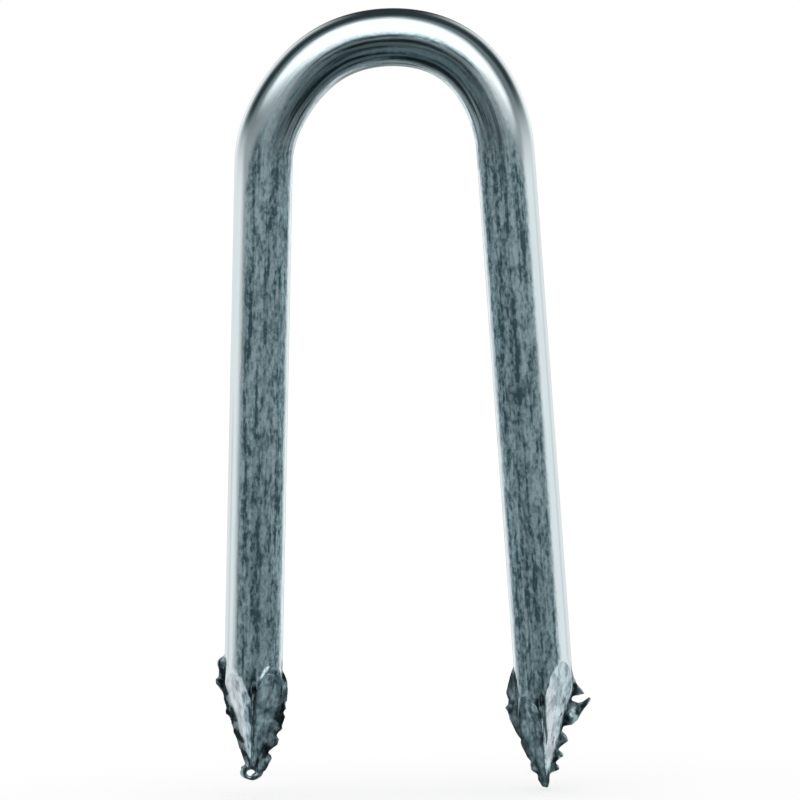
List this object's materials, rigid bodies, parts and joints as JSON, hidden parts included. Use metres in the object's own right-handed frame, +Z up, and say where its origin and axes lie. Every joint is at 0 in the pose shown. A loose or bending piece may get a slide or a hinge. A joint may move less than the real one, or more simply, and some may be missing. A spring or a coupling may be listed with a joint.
{
  "type": "wire staple",
  "caption": "U-shaped staple of round zinc-coated steel wire with a cut diamond point on each leg, driven into timber to pin down a cable, ground wire or fence wire.",
  "frame": {"origin": "under the middle of the crown, level with the longer leg's point: the bottom centre of the bounding box", "axes": "+Z up along the staple from the points to the crown, +X from the left leg to the right leg seen from the front, +Y through the wire's thickness, towards the back"},
  "size_m": [0.0241, 0.0038, 0.0508],
  "materials": {
    "zinc_wire": "bright zinc coating with drawing lines along the wire, duller on the crown and on the cut faces of the points"
  },
  "bodies": {
    "root": {"staple_wire": "zinc_wire"}
  },
  "joints": []
}
